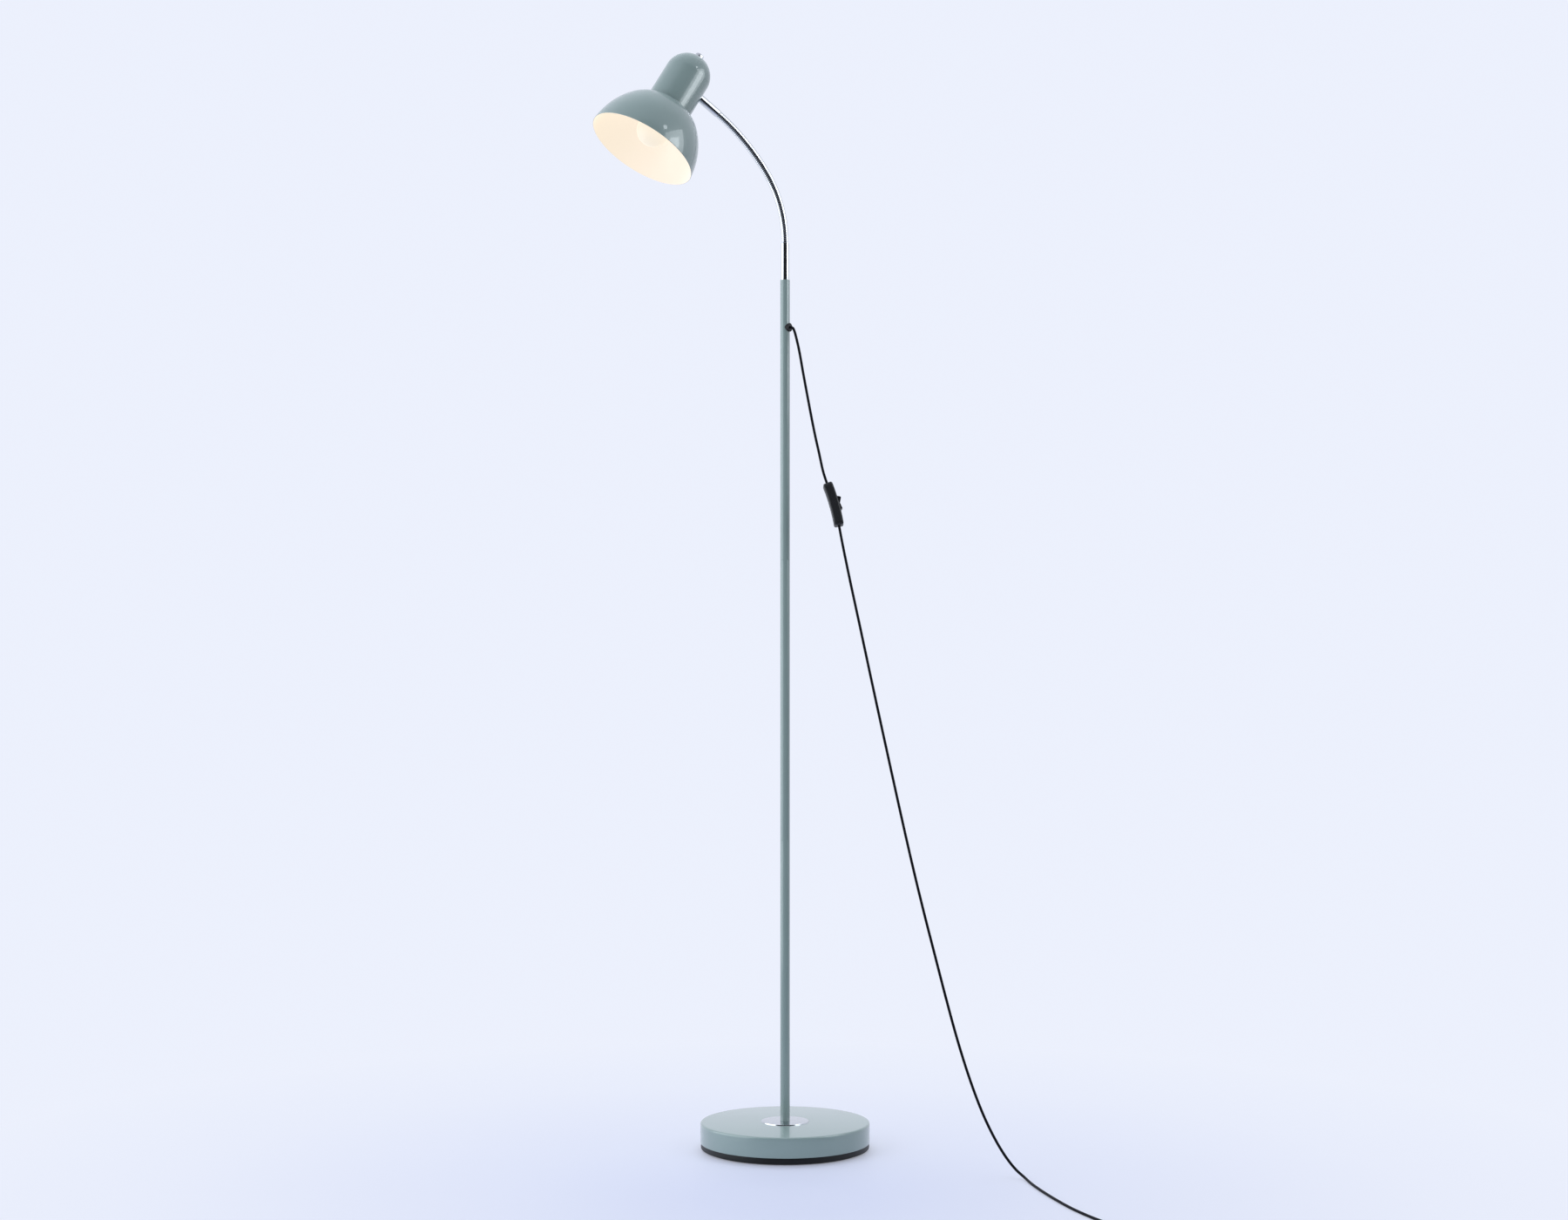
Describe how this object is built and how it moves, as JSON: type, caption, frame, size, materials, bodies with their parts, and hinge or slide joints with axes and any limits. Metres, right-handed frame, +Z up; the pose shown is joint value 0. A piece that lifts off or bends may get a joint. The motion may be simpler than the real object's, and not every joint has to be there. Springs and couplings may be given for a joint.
{
  "type": "gooseneck floor lamp",
  "caption": "Reading floor lamp: weighted round base, slim pole, bendable ribbed gooseneck, domed metal shade with a cap, and a cord with an in-line rocker switch and a plug.",
  "frame": {"origin": "on the floor under the pole's axis", "axes": "+Z up along the pole, -Y towards the side that the gooseneck bends over to, +X towards the side that the cord hangs on"},
  "size_m": [0.8172, 0.4406, 1.4723],
  "materials": {
    "sage_paint": "satin",
    "shade_paint": "satin",
    "chrome": "polished",
    "black_plastic": "fine grain",
    "holder_plastic": "moulded",
    "black_cord": "matt",
    "felt": "felt",
    "iron": "as cast",
    "steel": "zinc plated",
    "contact_brass": "plated",
    "pin_nickel": "nickel",
    "bulb_shell_metal": "rolled",
    "opal_glass": "opal",
    "bulb_black": "moulded",
    "core_insulation": "plain",
    "tie_plastic": "plain"
  },
  "bodies": {
    "root": {"base_pad": "felt", "base_tray": "black_plastic", "base_weight": "iron", "base_cover": "sage_paint", "clamp_stud": "steel", "clamp_nut": "steel", "clamp_washer": "steel", "foot_disc": "chrome", "tube_insert": "steel", "pole_lower": "sage_paint", "pole_middle": "sage_paint", "pole_upper": "sage_paint", "pole_couplings": "steel", "grommet": "black_cord", "lower_ferrule": "chrome", "cord_in_pole": "black_cord", "cord_in_neck": "black_cord", "cord_upper": "black_cord", "cord_lower": "black_cord", "cord_coil": "black_cord", "cord_tail": "black_cord", "coil_tie": "tie_plastic", "switch_front": "black_plastic", "switch_back": "black_plastic", "rocker_pin": "steel", "switch_contacts": "contact_brass", "switch_screws": "steel", "switch_cores": "core_insulation", "plug_body": "black_cord", "plug_pins": "pin_nickel"},
    "neck_1": {"neck_1": "chrome"},
    "neck_2": {"neck_2": "chrome"},
    "neck_3": {"neck_3": "chrome"},
    "neck_4": {"neck_4": "chrome"},
    "neck_5": {"neck_5": "chrome"},
    "neck_6": {"neck_6": "chrome"},
    "neck_7": {"neck_7": "chrome"},
    "neck_8": {"neck_8": "chrome"},
    "head": {"upper_ferrule": "chrome", "saddle_washer": "steel", "lock_nut": "steel", "shade": "shade_paint", "cap_shell": "sage_paint", "finial_nut": "chrome", "holder_stud": "steel", "shade_ring": "holder_plastic", "holder_body": "holder_plastic", "holder_cap": "holder_plastic", "contact_block": "holder_plastic", "terminal_screws": "contact_brass", "screw_shell": "contact_brass", "centre_contact": "contact_brass", "head_cores": "core_insulation", "cord_in_head": "black_cord"},
    "bulb_slide": {"bulb_tip": "bulb_black"},
    "bulb": {"bulb_glass": "opal_glass", "bulb_shell": "bulb_shell_metal"},
    "rocker": {"rocker": "black_plastic"}
  },
  "joints": [
    {"name": "bend_0", "type": "hinge", "parent": "root", "child": "neck_1", "pos_m": [0, 0, 1.2297], "axis": [1, 0, 0], "range_deg": [-11.3, 14], "deforming": ["cord_in_neck"]},
    {"name": "swing_1", "type": "hinge", "parent": "neck_1", "child": "neck_2", "pos_m": [0, -0.00203, 1.25497], "axis": [0, 0.9871, 0.1599], "range_deg": [-15, 15], "deforming": ["cord_in_neck"]},
    {"name": "bend_2", "type": "hinge", "parent": "neck_2", "child": "neck_3", "pos_m": [0, -0.00808, 1.27958], "axis": [1, 0, 0], "range_deg": [-11.3, 14], "deforming": ["cord_in_neck"]},
    {"name": "swing_3", "type": "hinge", "parent": "neck_3", "child": "neck_4", "pos_m": [0, -0.01798, 1.30292], "axis": [0, 0.8862, 0.4633], "range_deg": [-15, 15], "deforming": ["cord_in_neck"]},
    {"name": "bend_4", "type": "hinge", "parent": "neck_4", "child": "neck_5", "pos_m": [0, -0.03149, 1.32436], "axis": [1, 0, 0], "range_deg": [-11.3, 14], "deforming": ["cord_in_neck"]},
    {"name": "swing_5", "type": "hinge", "parent": "neck_5", "child": "neck_6", "pos_m": [0, -0.04754, 1.344], "axis": [0, 0.7463, 0.6656], "range_deg": [-15, 15], "deforming": ["cord_in_neck"]},
    {"name": "bend_6", "type": "hinge", "parent": "neck_6", "child": "neck_7", "pos_m": [0, -0.06523, 1.3622], "axis": [1, 0, 0], "range_deg": [-11.3, 14], "deforming": ["cord_in_neck"]},
    {"name": "neck_swing", "type": "hinge", "parent": "neck_7", "child": "neck_8", "pos_m": [0, -0.0844, 1.3788], "axis": [0, 0.6215, 0.7834], "range_deg": [-15, 15], "deforming": ["cord_in_neck"]},
    {"name": "neck_bend", "type": "hinge", "parent": "neck_8", "child": "head", "pos_m": [0, -0.10494, 1.3937], "axis": [1, 0, 0], "range_deg": [-11.3, 14], "deforming": ["cord_in_neck"]},
    {"name": "bulb_out", "type": "slide", "parent": "head", "child": "bulb_slide", "axis": [0, -0.5519, -0.8339], "range_m": [0, 0.0225]},
    {"name": "bulb_turn", "type": "hinge", "parent": "bulb_slide", "child": "bulb", "pos_m": [0, -0.182, 1.39494], "axis": [0, -0.5519, -0.8339], "range_deg": [0, 2160]},
    {"name": "rocker_key", "type": "hinge", "parent": "root", "child": "rocker", "pos_m": [0.07247, 0.03813, 0.87347], "axis": [0.8395, -0.5144, 0.175], "range_deg": [0, 16]}
  ],
  "couplings": [
    {"joint": "bend_0", "follows": "neck_bend", "ratio": 1},
    {"joint": "swing_1", "follows": "neck_swing", "ratio": 1},
    {"joint": "bend_2", "follows": "neck_bend", "ratio": 1},
    {"joint": "swing_3", "follows": "neck_swing", "ratio": 1},
    {"joint": "bend_4", "follows": "neck_bend", "ratio": 1},
    {"joint": "swing_5", "follows": "neck_swing", "ratio": 1},
    {"joint": "bend_6", "follows": "neck_bend", "ratio": 1},
    {"joint": "bulb_out", "follows": "bulb_turn", "m_per_rad": 0.00057614}
  ]
}
